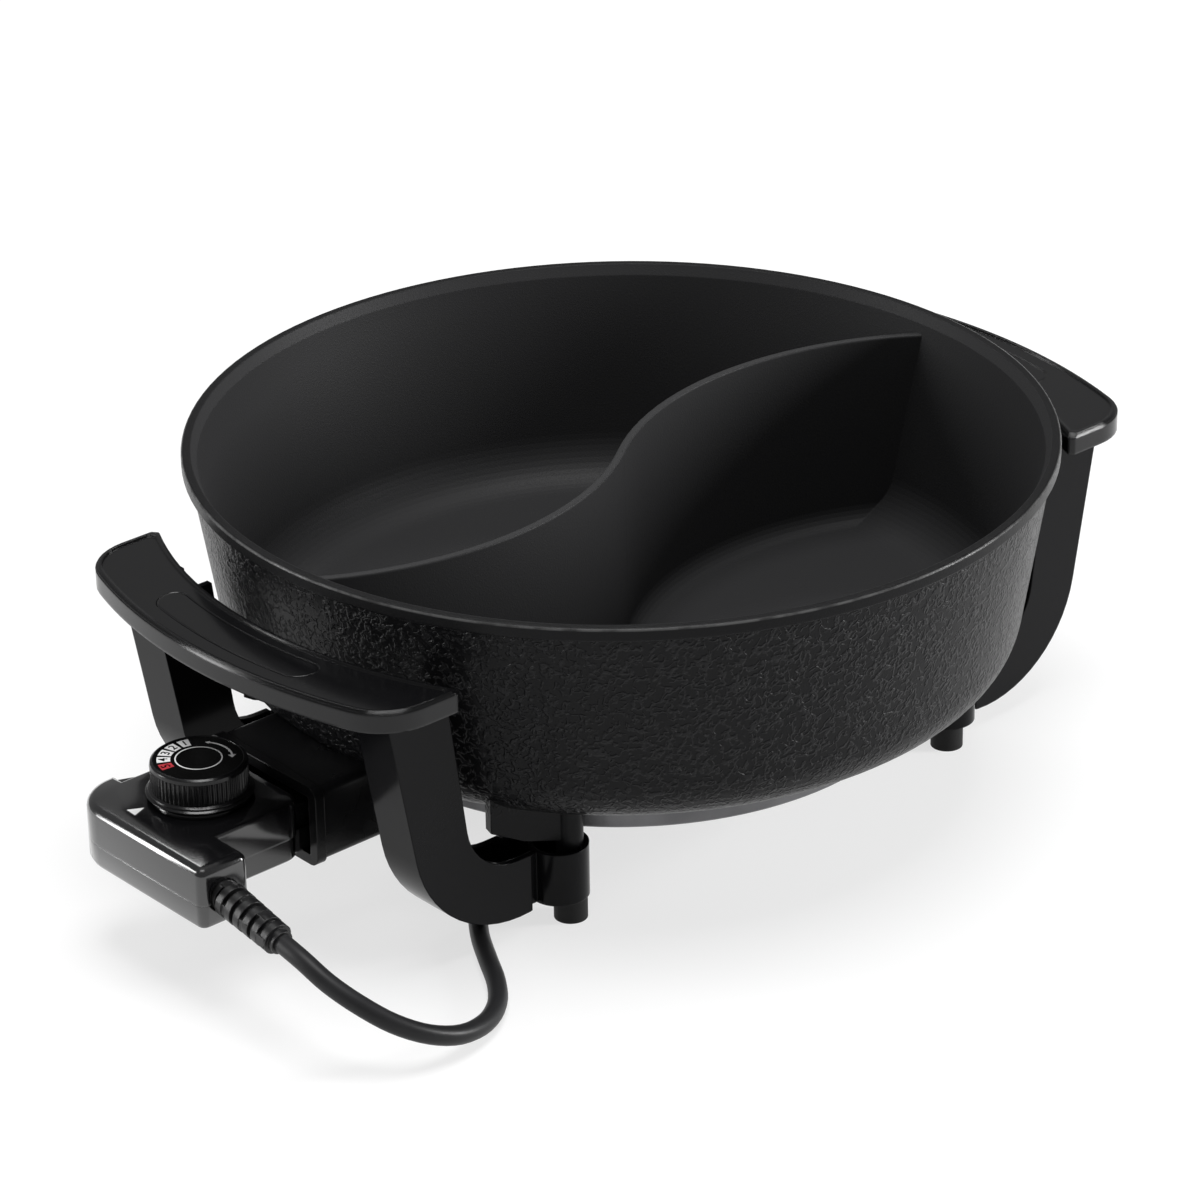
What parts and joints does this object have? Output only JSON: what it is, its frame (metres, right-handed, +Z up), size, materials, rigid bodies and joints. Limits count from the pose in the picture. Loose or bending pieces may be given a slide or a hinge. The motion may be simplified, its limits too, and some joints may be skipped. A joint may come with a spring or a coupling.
{
  "type": "split electric hot pot",
  "caption": "Round split electric hot pot: a cast pan with an S-shaped divider on hollow-legged handles, with a plug-in thermostat, dial and coiled mains lead.",
  "frame": {"origin": "on the pan's axis, at the surface that the four feet stand on", "axes": "+Z up along the pan's axis, X through both handles with the thermostat at -X"},
  "size_m": [0.4275, 0.4024, 0.134],
  "materials": {
    "pan_coating": "die-cast aluminium with a dark satin non-stick coating, embossed outside",
    "heater_alloy": "bare die-cast aluminium, matt grey",
    "element_sheath": "drawn steel tube, slightly oxidised",
    "plated_metal": "nickel-plated, bright",
    "ceramic": "glazed steatite, off-white",
    "handle_plastic": "black phenolic moulding, semi-gloss",
    "foot_rubber": "matt black rubber",
    "screw_steel": "zinc-plated steel",
    "guard_plastic": "black phenolic moulding, satin",
    "control_plastic": "polished black plastic",
    "probe_steel": "ground stainless tube",
    "contact_brass": "bare brass",
    "insulating_plastic": "cream heat-proof moulding",
    "white_print": "white printed mark",
    "relief_rubber": "soft black moulding, satin",
    "dial_plastic": "black moulding, satin",
    "dial_face_plastic": "glossy black insert with a printed scale",
    "lead_jacket": "black flexible jacket, satin",
    "tie_plastic": "black strap",
    "plug_plastic": "moulded black plug, satin"
  },
  "bodies": {
    "pot": {"pan": "pan_coating", "heater_casting": "heater_alloy", "heating_element": "element_sheath", "terminal_pins": "plated_metal", "pin_insulators": "ceramic", "probe_guide": "plated_metal", "front_handle": "handle_plastic", "rear_handle": "handle_plastic", "feet": "foot_rubber", "foot_screws": "screw_steel", "terminal_guard": "guard_plastic", "guard_screws": "screw_steel"},
    "control": {"control_top_shell": "control_plastic", "control_bottom_shell": "control_plastic", "control_screws": "screw_steel", "sensing_probe": "probe_steel", "probe_bracket": "plated_metal", "terminal_receptacles": "contact_brass", "receptacle_carrier": "insulating_plastic", "contact_block": "insulating_plastic", "bimetal_blade": "contact_brass", "pointer_mark": "white_print", "strain_relief": "relief_rubber", "cord": "lead_jacket", "cord_coil": "lead_jacket", "coil_tie": "tie_plastic", "plug_body": "plug_plastic", "plug_pins": "contact_brass"},
    "dial": {"dial_knob": "dial_plastic", "dial_face": "dial_face_plastic", "dial_skirt": "dial_plastic", "dial_spindle": "screw_steel"}
  },
  "joints": [
    {"name": "control_plug", "type": "slide", "parent": "pot", "child": "control", "axis": [-1, 0, 0], "range_m": [0, 0.07]},
    {"name": "dial_turn", "type": "hinge", "parent": "control", "child": "dial", "pos_m": [-0.197, 0, 0.06], "axis": [0, 0, -1], "range_deg": [0, 270]}
  ]
}
